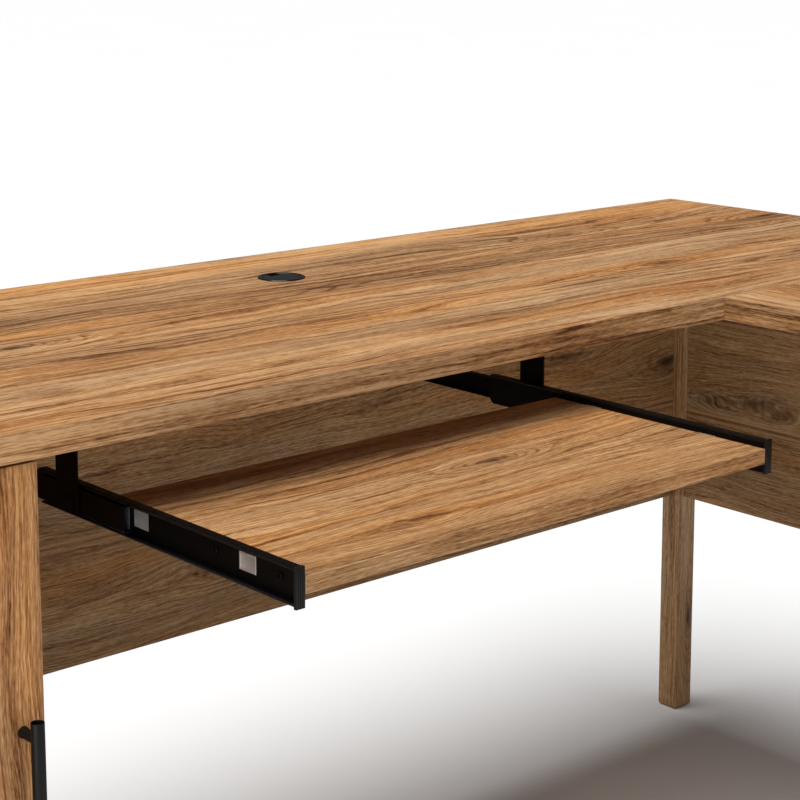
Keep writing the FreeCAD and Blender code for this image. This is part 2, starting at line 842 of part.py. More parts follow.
def make_hinges():
    pins = []
    for owner in ("case", "door"):
        leaves, made = [], []
        for index, z in enumerate(hinge_bottoms()):
            leaves.append(hinge_leaf("%s_leaf_%d" % (owner, index), owner, z))
        for index, (spot, direction) in enumerate(hinge_screw_spots(owner)):
            made.append(hinge_screw("%s_hinge_screw_%d" % (owner, index), owner, spot, direction))
        keep(group(owner + "_hinge_leaves", leaves), owner + "_hinge_leaves")
        keep(group(owner + "_hinge_screws", made), owner + "_hinge_screws")
    for index, z in enumerate(hinge_bottoms()):
        pins.append(rod("hinge_pin_%d" % index, "hinge_x", "hinge_y", z,
                        "hinge_pin_radius", "hinge_high"))
    keep(group("hinge_pins", pins), "hinge_pins")


def make_catch():
    x = "case_inner_right - 2 * catch_wide"
    z = "under_top - board_thick - catch_high"
    keep(board("catch_magnet", x, "case_front", z,
               "catch_wide", "catch_deep", "catch_high"), "catch_magnet")
    keep(box("catch_plate", x + " + 4", "door_back", z + " + 1",
             "catch_wide - 8", "strike_thick", "catch_high - 2"), "catch_plate")
    dots = []
    for index, z in enumerate(("toe_height + 40", "door_top - 40")):
        dots.append(rod("bumper_%d" % index, "case_right - board_thick / 2", "case_front", z,
                        "bumper_radius", "door_gap - play", "-Y"))
    keep(group("door_bumpers", dots), "door_bumpers")


# ---- keyboard shelf --------------------------------------------------------------------

def window_starts():
    return ("tray_front + window_first", "tray_front + window_second")


def make_tray_panel():
    blank = board("tray_body", "tray_left", "tray_front", "tray_bottom",
                  "tray_width", "tray_depth", "tray_thick")
    spots = []
    for side in ("left", "right"):
        for spot, direction in tray_screw_spots(side):
            spots.append((step(spot, direction, "slide_wall"), direction))
    drilled("tray_panel", blank, spots)


def make_tray_rail(side):
    """A channel that is open outward, with two windows in its web."""
    name = side + "_tray_rail"
    x, length = outboard(side, "0", "rail_deep")
    whole = box(name + "_whole", x, "rail_front", "rail_bottom",
                length, "rail_length", "rail_high")
    x, length = outboard(side, "slide_wall", "rail_deep + 1")
    hollow = box(name + "_hollow", x, "rail_front - 1", "rail_bottom + slide_wall",
                 length, "rail_length + 2", "rail_high - 2 * slide_wall")
    x, length = outboard(side, "-1", "slide_wall + 1")
    cutters = [hollow]
    for index, y in enumerate(window_starts()):
        cutters.append(box("%s_window_%d" % (name, index), x, y,
                           "tray_bottom + window_margin", length, "window_wide",
                           "tray_thick - 2 * window_margin"))
    for index, (spot, direction) in enumerate(tray_screw_spots(side)):
        start = step(spot, outward(side), "1")
        cutters.append(rod("%s_hole_%d" % (name, index), *start, "screw_radius + fit_gap",
                           "slide_wall + 2", direction))
    cutters.append(corner_cutter(name + "_corner", side))
    keep(cut(name, whole, cutters), name)


def corner_cutter(name, side):
    """A block on edge that takes off the rail's lower rear corner."""
    x, length = outboard(side, "-1", "rail_deep + 1")
    item = doc.addObject("Part::Box", name)
    item.Placement = FreeCAD.Placement(Vector(), FreeCAD.Rotation(Vector(1, 0, 0), 45))
    item.setExpression("Length", formula(length))
    item.setExpression("Width", formula("rail_corner * 1.4142"))
    item.setExpression("Height", formula("rail_corner * 1.4142"))
    place(item, x, "rail_rear", "rail_bottom - rail_corner")
    return item


def make_rail_trim(side):
    x, length = outboard(side, "cap_offset", "cap_offset + cap_deep")
    keep(board(side + "_rail_cap", x, "tray_front", "rail_bottom - cap_proud",
               length, "cap_length", "rail_high + 2 * cap_proud"), side + "_rail_cap")
    x, length = outboard(side, "0", "slide_wall - fit_gap")
    plates = []
    for index, y in enumerate(window_starts()):
        plates.append(box("%s_lock_%d" % (side, index), x, y + " + play",
                          "tray_bottom + window_margin + play", length,
                          "window_wide - 2 * play",
                          "tray_thick - 2 * window_margin - 2 * play"))
    keep(group(side + "_lock_plates", plates), side + "_lock_plates")


def rivet_spots():
    spots = []
    for side, end, y in strap_sides():
        for share in ("0.3", "0.7"):
            spots.append((side, end, "%s + strap_wide * %s" % (y, share)))
    return spots


def rivet_hole(name, side, y):
    x, _ = outboard(side, "slide_outer - slide_wall - 1", "slide_outer - slide_wall - 1")
    return rod(name, x, y, "slide_middle", "rivet_radius + fit_gap",
               "slide_wall + strap_thick + 2", outward(side))


def make_fixed_slide(side):
    """The fixed member: a smaller channel, open toward the shelf."""
    name = side + "_fixed_slide"
    x, length = outboard(side, "slide_inner", "slide_outer")
    whole = box(name + "_whole", x, "slide_front", "slide_bottom",
                length, "slide_length", "slide_high")
    x, length = outboard(side, "slide_inner - 1", "slide_outer - slide_wall")
    hollow = box(name + "_hollow", x, "slide_front - 1", "slide_bottom + slide_wall",
                 length, "slide_length + 2", "slide_high - 2 * slide_wall")
    cutters = [hollow]
    for index, (owner, _, y) in enumerate(rivet_spots()):
        if owner == side:
            cutters.append(rivet_hole("%s_rivet_hole_%d" % (name, index), side, y))
    keep(cut(name, whole, cutters), name)


def make_ball_cage(side):
    """A thin channel in the lanes between the members, with its balls."""
    name = side + "_ball_cage"
    near, far = "slide_wall + 0.6", "rail_deep - 1"
    x, length = outboard(side, near, far)
    low = "lane_low - cage_wall / 2"
    whole = box(name + "_whole", x, "cage_front", low, length, "cage_length",
                "lane_high - lane_low + cage_wall")
    x, length = outboard(side, near + " + cage_wall", far + " + 1")
    hollow = box(name + "_hollow", x, "cage_front - 1", low + " + cage_wall", length,
                 "cage_length + 2", "lane_high - lane_low - cage_wall")
    pieces = [cut(name + "_channel", whole, [hollow])]
    x, _ = outboard(side, "rail_deep / 2 + 1", "rail_deep / 2 + 1")
    for row, z in enumerate(("lane_low", "lane_high")):
        for index in range(6):
            y = "cage_front + cage_length * %s" % ((index + 0.5) / 6)
            pieces.append(ball("%s_ball_%d_%d" % (name, row, index), x, y, z,
                               "lane / 2 - play"))
    keep(fuse(name, pieces), name)


def make_strap(side, end, y):
    """A strap that hangs the fixed slide from the underside of the main top."""
    name = "%s_%s_strap" % (side, end)
    inner = "slide_outer"
    x, length = outboard(side, inner, inner + " + strap_thick")
    upright = box(name + "_upright", x, y, "slide_bottom", length, "strap_wide",
                  "under_top - (slide_bottom)")
    x, length = outboard(side, inner, inner + " + strap_thick + strap_flange")
    flange = box(name + "_flange", x, y, "under_top - strap_thick", length,
                 "strap_wide", "strap_thick")
    cutters = []
    for index, (spot, direction) in enumerate(strap_screw_spots()):
        cutters.append(pilot("%s_screw_hole_%d" % (name, index), step(spot, "-Z", "1"), direction))
    for index, (owner, where, along) in enumerate(rivet_spots()):
        if owner == side and where == end:
            cutters.append(rivet_hole("%s_rivet_hole_%d" % (name, index), side, along))
    keep(cut(name, fuse(name + "_whole", [upright, flange]), cutters), name)


def make_rivets():
    made = []
    for index, (side, _, y) in enumerate(rivet_spots()):
        out = outward(side)
        near, _ = outboard(side, "slide_outer - slide_wall - rivet_thick",
                           "slide_outer - slide_wall - rivet_thick")
        far, _ = outboard(side, "slide_outer + strap_thick", "slide_outer + strap_thick")
        name = "rivet_%d" % index
        shank = rod(name + "_shank", near, y, "slide_middle", "rivet_radius",
                    "slide_wall + strap_thick + 2 * rivet_thick", out)
        inner = rod(name + "_inner", near, y, "slide_middle", "rivet_head", "rivet_thick", out)
        outer = rod(name + "_outer", far, y, "slide_middle", "rivet_head", "rivet_thick", out)
        made.append(fuse(name, [shank, inner, outer]))
    keep(group("slide_rivets", made), "slide_rivets")


def make_shelf_gear():
    make_tray_panel()
    for side in ("left", "right"):
        make_tray_rail(side)
        make_rail_trim(side)
        make_fixed_slide(side)
        make_ball_cage(side)
    for side, end, y in strap_sides():
        make_strap(side, end, y)
    make_rivets()
    screws("strap_screws", strap_screw_spots())
    screws("tray_screws", tray_screw_spots("left") + tray_screw_spots("right"))


def check_and_write():
    doc.recompute()
    failed = [each.Name for each in doc.Objects
              if "Invalid" in each.State or "Error" in each.State]
    if failed:
        raise SystemExit("failed objects: " + ", ".join(failed))
    for item in nodes:
        if item.Shape.isNull() or not item.Shape.isValid():
            raise SystemExit("bad shape: " + item.Label)
    os.makedirs("parts", exist_ok=True)
    for item in nodes:
        item.Shape.exportStep("parts/%s.step" % item.Label)
        print("%-22s %2d solids %12.1f mm3" % (item.Label, len(item.Shape.Solids),
                                               item.Shape.Volume))
    print(len(nodes), "nodes")


make_sheet()
make_tops()
make_legs()
make_panels()
make_glides()
make_seam_plates()
make_brackets()
make_grommet()
make_case_sides()
make_case_boards()
make_case_hardware()
make_door()
make_pull()
make_hinges()
make_catch()
make_shelf_gear()
check_and_write()
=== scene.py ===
import bpy
import bmesh
import math
from mathutils import Matrix, Vector


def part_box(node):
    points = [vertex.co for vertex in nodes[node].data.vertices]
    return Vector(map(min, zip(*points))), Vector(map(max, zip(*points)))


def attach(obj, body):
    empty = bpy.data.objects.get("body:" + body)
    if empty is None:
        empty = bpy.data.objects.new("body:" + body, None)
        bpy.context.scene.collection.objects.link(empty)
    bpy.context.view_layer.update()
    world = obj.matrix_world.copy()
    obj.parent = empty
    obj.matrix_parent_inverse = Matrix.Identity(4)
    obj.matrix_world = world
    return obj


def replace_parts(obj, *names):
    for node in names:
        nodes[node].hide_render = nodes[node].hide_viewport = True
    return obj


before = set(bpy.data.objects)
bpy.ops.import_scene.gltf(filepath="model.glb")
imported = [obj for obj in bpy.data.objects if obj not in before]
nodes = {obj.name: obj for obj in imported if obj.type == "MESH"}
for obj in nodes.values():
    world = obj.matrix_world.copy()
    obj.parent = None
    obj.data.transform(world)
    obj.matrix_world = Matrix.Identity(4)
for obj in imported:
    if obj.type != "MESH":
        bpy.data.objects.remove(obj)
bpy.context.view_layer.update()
print("frame loaded,", len(nodes), "nodes")


class Wire:
    # a shader socket that can be used in sums
    def __init__(self, socket):
        self.socket = socket

    def node(self, kind, settings=None, sockets=None, out=0):
        tree = self.socket.id_data
        made = tree.nodes.new(kind)
        for name, value in (settings or {}).items():
            if name == "stops":
                ramp = made.color_ramp.elements
                while len(ramp) < len(value):
                    ramp.new(1.0)
                for element, (position, color) in zip(ramp, value):
                    element.position = position
                    element.color = (*color, 1.0)
            else:
                setattr(made, name, value)
        for name, value in (sockets or {}).items():
            if isinstance(value, Wire):
                tree.links.new(value.socket, made.inputs[name])
            else:
                made.inputs[name].default_value = value
        return Wire(made.outputs[out])

    def out(self, name):
        return Wire(self.socket.node.outputs[name])

    def feed(self, shader, name):
        self.socket.id_data.links.new(self.socket, shader.inputs[name])

    def math(self, operation, *others):
        return self.node("ShaderNodeMath", {"operation": operation},
                         dict(enumerate((self, *others))))

    def __add__(self, other):
        return self.math("ADD", other)

    def __sub__(self, other):
        return self.math("SUBTRACT", other)

    def __rsub__(self, other):
        return self.node("ShaderNodeMath", {"operation": "SUBTRACT"}, {0: other, 1: self})

    def __mul__(self, other):
        return self.math("MULTIPLY", other)

    def __gt__(self, other):
        return self.math("GREATER_THAN", other)

    def __abs__(self):
        return self.math("ABSOLUTE")

    __radd__ = __add__
    __rmul__ = __mul__


def smooth(value, low, high):
    return value.node("ShaderNodeMapRange", {"interpolation_type": "SMOOTHSTEP"},
                      {"Value": value, "From Min": low, "From Max": high})


def mixColor(factor, first, second, blend="MIX"):
    wire = factor if isinstance(factor, Wire) else first  # a plain number works as a factor
    return wire.node("ShaderNodeMix", {"data_type": "RGBA", "blend_type": blend},
                     {0: factor, 6: first, 7: second}, out=2)


def mixPlace(factor, first, second):
    return factor.node("ShaderNodeMix", {"data_type": "VECTOR"},
                       {0: factor, 4: first, 5: second}, out=1)


def combine(x, y, z):
    return x.node("ShaderNodeCombineXYZ", {}, {0: x, 1: y, 2: z})


def split(place):
    return place.node("ShaderNodeSeparateXYZ", {}, {0: place})


def noise(place, scale, detail=2.0, rough=0.5):  # scale is in turns per metre on each axis
    spread = place.node("ShaderNodeVectorMath", {"operation": "MULTIPLY"}, {0: place, 1: scale})
    return spread.node("ShaderNodeTexNoise", {},
                       {"Vector": spread, "Scale": 1.0, "Detail": detail, "Roughness": rough})


def startPaint(name, roughness, metallic=0.0, specular=0.5):
    paint = bpy.data.materials.new(name)
    paint.use_nodes = True
    tree = paint.node_tree
    shader = tree.nodes["Principled BSDF"]
    shader.inputs["Roughness"].default_value = roughness
    shader.inputs["Metallic"].default_value = metallic
    shader.inputs["Specular IOR Level"].default_value = specular
    return paint, shader, Wire(tree.nodes.new("ShaderNodeTexCoord").outputs["Object"])


def bumpFrom(height, shader, strength, distance):
    height.node("ShaderNodeBump", {}, {"Strength": strength, "Distance": distance,
                                       "Height": height}).feed(shader, "Normal")


# wood tones, dark to light, and the scale of each layer along and across the grain
wood = {
    "stops": [(0.0, (0.075, 0.027, 0.008)), (0.22, (0.180, 0.070, 0.022)),
              (0.42, (0.290, 0.133, 0.048)), (0.60, (0.385, 0.190, 0.073)),
              (0.80, (0.490, 0.263, 0.112)), (1.0, (0.62, 0.37, 0.18))],
    "red": (1.07, 0.93, 0.74, 1.0),
    "grey": (0.90, 0.97, 1.10, 1.0),
    "knot": (0.040, 0.016, 0.007, 1.0),
    "bark": (0.115, 0.050, 0.020, 1.0),
    "worn": (0.52, 0.31, 0.155, 1.0),
    "roughness": 0.56,
    "specular": 0.2,
    "sway": (2.6, 9.0, 1.0), "curl": (13.0, 40.0, 1.0), "patch": (1.6, 12.0, 1.0),
    "ripple": (24.0, 90.0, 1.0), "streak": (1.9, 105.0, 1.0), "fibre": (11.0, 540.0, 1.0),
    "thread": (1.3, 250.0, 1.0), "grit": (90.0, 800.0, 1.0), "pores": (70.0, 1300.0, 1.0),
    "warm": (1.1, 15.0, 1.0),
    "swayReach": 0.060, "curlReach": 0.007,
    "rubWide": 0.0024, "bandAt": 0.0014, "bumpDeep": 0.0004,
}


def woodPaint(name, board):
    low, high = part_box(name)
    paint, shader, place = startPaint(name + "Wood", wood["roughness"],
                                      specular=wood["specular"])
    spot = split(place)
    facing = split(place.out("Normal"))
    first, second, third = board["grain"]
    # a flat face, a long edge and an end each show grain along their longer side
    flat = combine(spot.out(first), spot.out(second), spot.out(third))
    edge = combine(spot.out(first), spot.out(third) + 3.7, spot.out(second))
    end = combine(spot.out(second), spot.out(third) + 5.3, spot.out(first))
    onEdge = abs(facing.out(second)) > 0.7
    onEnd = abs(facing.out(first)) > 0.7
    grain = split(mixPlace(onEnd, mixPlace(onEdge, flat, edge), end))
    along, across = grain.out("X"), grain.out("Y")

    # planks, with a fine seam between them
    plank = 0.0
    seamGap = None
    for offset, slope in board.get("seams", ()):
        gap = across - (along * slope + offset)
        plank = (gap > 0.0) + plank
        seamGap = abs(gap) if seamGap is None else seamGap.math("MINIMUM", abs(gap))
    tone = along.node("ShaderNodeTexWhiteNoise", {"noise_dimensions": "1D"},
                      {"W": plank + board["seed"] * 3.1})

    # knots push the grain aside
    bent = across
    core = halo = None
    for knotAlong, knotAcross, long, wide, depth in board.get("knots", ()):
        away = combine(along * (1 / long) - knotAlong / long,
                       across * (1 / wide) - knotAcross / wide, 0.0)
        reach = away.node("ShaderNodeVectorMath", {"operation": "DOT_PRODUCT"},
                          {0: away, 1: away}, out="Value")
        near = (reach * -0.35).math("EXPONENT")
        dark = (reach * -4.0).math("EXPONENT") * depth
        bent = bent - (across - knotAcross) * near * 0.8
        core = dark if core is None else core + dark
        halo = near * depth if halo is None else halo + near * depth

    start = combine(along + plank * 2.37, bent, plank * 4.1 + board["seed"])
    sway = noise(start, wood["sway"], 1.0)
    curl = noise(start, wood["curl"], 2.0)
    calm = 1.0 - (onEdge + onEnd) * 0.8
    bent = bent + ((sway - 0.5) * wood["swayReach"] + (curl - 0.5) * wood["curlReach"]) * calm
    home = combine(along + plank * 2.37, bent, plank * 4.1 + board["seed"])
    patch = noise(home, wood["patch"], 2.0)
    ripple = noise(home, wood["ripple"], 2.0, 0.6)
    streak = noise(home, wood["streak"], 4.0, 0.65)
    fibre = noise(home, wood["fibre"], 3.0, 0.7)
    thread = noise(home, wood["thread"], 3.0, 0.6)
    grit = noise(home, wood["grit"], 2.0, 0.7)
    rings = bent * board.get("lines", 38.0) + patch * 5.0 + curl * 0.8
    ringMask = smooth(sway, 0.36, 0.60)
    if halo is not None:
        rings = rings + halo * 5.0
        ringMask = ringMask.math("MAXIMUM", halo * 1.3)
    rings = rings.math("FRACT")
    ringLine = smooth(rings, 0.50, 0.90) * (1.0 - smooth(rings, 0.90, 1.0)) * ringMask
    pores = smooth(noise(home, wood["pores"], 0.0), 0.64, 0.76)

    darkLine = 1.0 - smooth(thread, 0.33, 0.43)
    lightLine = smooth(thread, 0.56, 0.66)
    broad = ((patch - 0.5) * 0.75 + (streak - 0.5) * 1.10 + (ripple - 0.5) * 0.30
             - ringLine * 0.26 - darkLine * 0.22 + lightLine * 0.12 + (tone - 0.5) * 0.20)
    # onEdge times edge darkens each board's long edge faces as painted shade, by 0.05 unless the
    # board gives its own edge
    shade = (broad * board.get("contrast", 1.0) + (fibre - 0.5) * 1.8 + (grit - 0.5) * 1.25
             - pores * 0.20 + onEdge * board.get("edge", -0.05) + (0.66 + board.get("tone", 0.0)))
    color = shade.node("ShaderNodeValToRGB", {"stops": wood["stops"]}, {"Fac": shade})
    warm = noise(home, wood["warm"], 2.0)
    color = mixColor(smooth(warm, 0.50, 0.68), color,
                     mixColor(1.0, color, wood["red"], "MULTIPLY"))
    color = mixColor(smooth(warm, 0.50, 0.34), color,
                     mixColor(1.0, color, wood["grey"], "MULTIPLY"))
    # painted shade hue: boards that stand mostly in shade are made less red and bluer
    if "paintedShadeTint" in board:
        color = mixColor(1.0, color, (*board["paintedShadeTint"], 1.0), "MULTIPLY")
    if core is not None:
        color = mixColor(halo * streak * 0.45, color, wood["bark"])
        eye = (core * (ripple * 1.1 + 0.45)).math("MINIMUM", 0.92)
        color = mixColor(eye, color, wood["knot"])
    if seamGap is not None:
        beside = smooth(seamGap, 0.0014, 0.0030) * (1.0 - smooth(seamGap, 0.0040, 0.0075))
        color = mixColor(beside * 0.45, color, wood["worn"])
        groove = 1.0 - smooth(seamGap, 0.0010, 0.0030)
        color = mixColor(groove * (smooth(patch, 0.35, 0.6) * 0.65 + 0.15), color, wood["bark"])

    # edges rubbed lighter here and there, with a fine dark line where the face starts
    sides = [(spot.out(axis) - low["XYZ".index(axis)]).math(
        "MINIMUM", high["XYZ".index(axis)] - spot.out(axis)) for axis in "XYZ"]
    middle = sides[0].math("MINIMUM", sides[1]).math(
        "MAXIMUM", sides[0].math("MAXIMUM", sides[1]).math("MINIMUM", sides[2]))
    rubbed = 1.0 - smooth(middle, 0.0004, wood["rubWide"])
    rubbed = rubbed * smooth(noise(place, (34.0,) * 3, 3.0), 0.44, 0.62)
    band = 1.0 - smooth(abs(middle - wood["bandAt"]), 0.0001, 0.0005)
    color = mixColor(band * 0.35, color, wood["bark"])
    color = mixColor(rubbed * 0.55, color, wood["worn"])
    color.feed(shader, "Base Color")
    dull = wood["roughness"] - 0.06 + patch * 0.1 + pores * 0.15 - rubbed * 0.08
    dull.feed(shader, "Roughness")
    height = fibre * 0.5 + grit * 0.3 - pores * 0.9 - ringLine * 0.25
    bumpFrom(height, shader, 0.35, wood["bumpDeep"])
    return paint


# grain runs along the first axis and planks lie side by side on the second
# a seam is its place and slope, a knot its place, length, width and darkness
boards = {
    # the main top's edge of -0.115 is painted shade on its front and back edge faces
    "main_top": {
        "grain": "XYZ", "seed": 1.0, "lines": 30.0, "edge": -0.115, "contrast": 1.3,
        "tone": -0.012,
        "seams": [(0.454, -0.0737), (0.553, 0.0), (0.653, 0.0)],
        "knots": [(0.528, 0.671, 0.040, 0.010, 0.9), (0.866, 0.610, 0.050, 0.014, 1.0),
                  (0.734, 0.563, 0.040, 0.011, 0.8), (0.457, 0.445, 0.050, 0.014, 0.75),
                  (0.291, 0.413, 0.085, 0.007, 0.95), (0.244, 0.562, 0.170, 0.006, 0.7),
                  (0.136, 0.580, 0.060, 0.008, 0.6), (0.619, 0.376, 0.060, 0.018, 0.45),
                  (-0.369, 0.533, 0.034, 0.012, 1.0), (-0.310, 0.651, 0.030, 0.010, 0.7)],
    },
    "return_top": {"grain": "YXZ", "seed": 2.6, "tone": 0.02, "edge": 0.0, "contrast": 1.2,
                   "seams": [(0.52, 0.0), (0.71, 0.0)],
                   "knots": [(-0.12, 0.61, 0.05, 0.014, 0.9), (-0.55, 0.44, 0.04, 0.012, 0.8)]},
    # the panels' tone of -0.06 is painted shade: they stand under the tops
    "back_panel": {"grain": "XZY", "seed": 3.0, "tone": -0.06, "contrast": 0.6,
                   "paintedShadeTint": (0.86, 1.0, 1.1), "seams": [(0.47, 0.0), (0.615, 0.0)],
                   "knots": [(0.828, 0.531, 0.05, 0.022, 0.9), (0.620, 0.569, 0.06, 0.008, 0.7),
                             (0.02, 0.40, 0.05, 0.016, 0.6), (-0.3, 0.55, 0.06, 0.015, 0.5)]},
    "return_panel": {"grain": "YZX", "seed": 4.0, "tone": -0.06, "contrast": 0.6,
                     "paintedShadeTint": (0.86, 1.0, 1.1), "seams": [(0.455, 0.0), (0.60, 0.0)],
                     "knots": [(0.611, 0.490, 0.05, 0.018, 0.7), (0.554, 0.483, 0.035, 0.014, 0.6),
                               (0.694, 0.478, 0.03, 0.012, 0.5), (-0.2, 0.54, 0.05, 0.016, 0.8)]},
    "end_rail": {"grain": "XZY", "seed": 5.0},
    # the corner leg's tone of +0.08 is painted light: it is lifted to the brightness of its lit
    # left face
    "corner_leg": {"grain": "ZXY", "seed": 6.0, "tone": 0.08, "contrast": 0.7,
                   "paintedShadeTint": (0.92, 1.0, 1.06), "knots": [(0.14, 0.868, 0.045, 0.008, 0.9)]},
    "return_outer_leg": {"grain": "ZXY", "seed": 7.0},
    "return_inner_leg": {"grain": "ZXY", "seed": 8.0},
    "door": {"grain": "ZXY", "seed": 9.0, "tone": -0.075,
             "seams": [(-0.80, 0.0), (-0.68, 0.0), (-0.575, 0.0)],
             "knots": [(0.36, -0.70, 0.05, 0.014, 0.9), (0.60, -0.58, 0.04, 0.010, 0.5)]},
    "case_left_side": {"grain": "ZYX", "seed": 10.0, "seams": [(0.45, 0.0), (0.61, 0.0)],
                       "knots": [(0.45, 0.53, 0.05, 0.014, 0.9)]},
    "case_right_side": {"grain": "ZYX", "seed": 11.0, "seams": [(0.47, 0.0), (0.63, 0.0)],
                        "knots": [(0.30, 0.56, 0.05, 0.014, 0.9)]},
    "case_bottom": {"grain": "XYZ", "seed": 12.0},
    "case_back": {"grain": "ZXY", "seed": 13.0, "seams": [(-0.70, 0.0)]},
    "front_stretcher": {"grain": "XYZ", "seed": 14.0},
    "back_stretcher": {"grain": "XYZ", "seed": 15.0},
    "toe_kick": {"grain": "XZY", "seed": 16.0},
    "shelf": {"grain": "XYZ", "seed": 17.0, "seams": [(0.52, 0.0)]},
    "tray_panel": {"grain": "XYZ", "seed": 18.0, "lines": 44.0, "tone": -0.075,
                   "paintedShadeTint": (0.97, 1.0, 1.02), "edge": 0.0,
                   "knots": [(-0.06, 0.196, 0.03, 0.009, 0.9), (-0.26, 0.10, 0.05, 0.016, 0.35)]},
}


def dress(name, paint):  # gives every slot of a CAD node one paint
    slots = nodes[name].data.materials
    for index in range(len(slots)):
        slots[index] = paint


for name, board in boards.items():
    dress(name, woodPaint(name, board))
print("wood done")

# black finishes: colour, its lighter specks, roughness, gloss and grain per metre
black = {
    "powderBlack": ((0.0012, 0.0012, 0.0013, 1.0), (0.0045, 0.0045, 0.0048, 1.0), 0.46, 0.10,
                    1500.0),
    "pullBlack": ((0.0035, 0.0035, 0.0035, 1.0), (0.009, 0.009, 0.009, 1.0), 0.38, 0.2, 1500.0),
    "mouldedBlack": ((0.0050, 0.0048, 0.0046, 1.0), (0.013, 0.013, 0.012, 1.0), 0.38, 0.22,
                     2600.0),
    "grommetBlack": ((0.0085, 0.0088, 0.0090, 1.0), (0.018, 0.018, 0.018, 1.0), 0.36, 0.3,
                     2600.0),
    "grommetRimBlack": ((0.0022, 0.0022, 0.0022, 1.0), (0.006, 0.006, 0.006, 1.0), 0.22, 0.5,
                        2600.0),
}


def blackPaint(name):
    color, lift, roughness, specular, grain = black[name]
    paint, shader, place = startPaint(name, roughness, specular=specular)
    cloud = noise(place, (9.0, 9.0, 9.0), 3.0)
    powder = noise(place, (grain,) * 3, 2.0, 0.6)
    speck = smooth(noise(place, (420.0,) * 3, 2.0), 0.60, 0.74)
    sides = smooth(noise(place, (38.0,) * 3, 4.0, 0.65), 0.56, 0.75)
    lighter = sides * 0.35 + speck * 0.25 + (cloud - 0.5) * 0.6
    mixColor(lighter, color, lift).feed(shader, "Base Color")
    (roughness - 0.05 + cloud * 0.1 + sides * 0.06).feed(shader, "Roughness")
    bumpFrom(powder + cloud * 0.4, shader, 0.25, 0.00008)
    return paint


blackMetal = blackPaint("powderBlack")
pullBlack = blackPaint("pullBlack")
blackPlastic = blackPaint("mouldedBlack")
capBlack = blackPaint("grommetBlack")
rimBlack = blackPaint("grommetRimBlack")


def steelPaint(name, dark, light, along, roughness):  # along is the brushing's scale per axis
    paint, shader, place = startPaint(name, roughness, metallic=0.6)
    brush = noise(place, along, 2.0, 0.7)
    cloud = noise(place, (60.0, 60.0, 60.0), 3.0)
    stain = smooth(noise(place, (25.0,) * 3, 3.0), 0.55, 0.8)
    lighter = brush * 0.8 + (cloud - 0.5) * 0.8 - stain * 0.3
    mixColor(lighter, dark, light).feed(shader, "Base Color")
    (roughness - 0.08 + brush * 0.12 + stain * 0.15).feed(shader, "Roughness")
    bumpFrom(brush, shader, 0.3, 0.00006)
    return paint


zincPaint = steelPaint("zincPlate", (0.30, 0.30, 0.29, 1.0), (0.58, 0.58, 0.56, 1.0),
                       (700.0, 700.0, 90.0), 0.38)
lockPaint = steelPaint("lockPlate", (0.30, 0.29, 0.28, 1.0), (0.62, 0.60, 0.58, 1.0),
                       (300.0, 90.0, 1400.0), 0.42)
slotPaint = {"black_metal": blackMetal, "black_plastic": blackPlastic, "zinc": zincPaint}
for name, item in nodes.items():
    if name not in boards:
        dress(name, slotPaint[item.data.materials[0].name.split(".")[0]])
for name in ("left_lock_plates", "right_lock_plates"):
    dress(name, lockPaint)
dress("grommet_cap", capBlack)
print("metal and plastic done")


def added(name, data):
    item = bpy.data.objects.new(name, data)
    bpy.context.scene.collection.objects.link(item)
    return item


def freed(mesh, name):  # mesh data from a bmesh that is no longer needed
    data = bpy.data.meshes.new(name)
    mesh.to_mesh(data)
    mesh.free()
    return data


def keep(mesh, name, body, paint, angle=35.0):
    bmesh.ops.recalc_face_normals(mesh, faces=mesh.faces)
    data = freed(mesh, name)
    data.materials.append(paint)
    data.shade_smooth()
    data.set_sharp_from_angle(angle=math.radians(angle))
    piece = added(name, data)
    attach(piece, body)
    return piece


def turned(points, center, axis, steps=64):  # a (radius, height) outline turned round an axis
    mesh = bmesh.new()
    side = Vector((0, 0, 1)) if abs(axis.z) < 0.5 else Vector((1, 0, 0))
    corners = [mesh.verts.new(center + side * radius + axis * height) for radius, height in points]
    edges = [mesh.edges.new((corners[i], corners[(i + 1) % len(corners)]))
             for i in range(len(corners))]
    bmesh.ops.spin(mesh, geom=edges, cent=center, axis=axis, angle=math.tau, steps=steps,
                   use_merge=True, use_duplicate=False)
    bmesh.ops.remove_doubles(mesh, verts=mesh.verts, dist=0.000005)
    return mesh


def bevelEdges(mesh, width, segments, minAngle=0.6):
    edges = [edge for edge in mesh.edges
             if len(edge.link_faces) == 2 and edge.calc_face_angle(0.0) > minAngle]
    bmesh.ops.bevel(mesh, geom=edges, offset=width, offset_type="OFFSET", affect="EDGES",
                    segments=segments, profile=0.5, material=-1, clamp_overlap=True)


def block(low, high):
    mesh = bmesh.new()
    bmesh.ops.create_cube(mesh, size=1.0)
    size = Vector(high) - Vector(low)
    bmesh.ops.scale(mesh, vec=size, verts=mesh.verts)
    bmesh.ops.translate(mesh, vec=(Vector(low) + Vector(high)) / 2, verts=mesh.verts)
    return mesh


def gather(whole, mesh):  # moves one bmesh into another
    data = freed(mesh, "part")
    whole.from_mesh(data)
    bpy.data.meshes.remove(data)


def pointsOf(geom):
    return [item for item in geom if isinstance(item, bmesh.types.BMVert)]


def edgesOf(geom):
    return [item for item in geom if isinstance(item, bmesh.types.BMEdge)]


def roundRod(radius, length, start, corner=0.0003):  # along y, with its rims rounded off
    outline = [(0.0, 0.0), (radius - corner, 0.0), (radius, corner), (radius, length - corner),
               (radius - corner, length), (0.0, length)]
    return turned(outline, start, Vector((0, 1, 0)), 16)


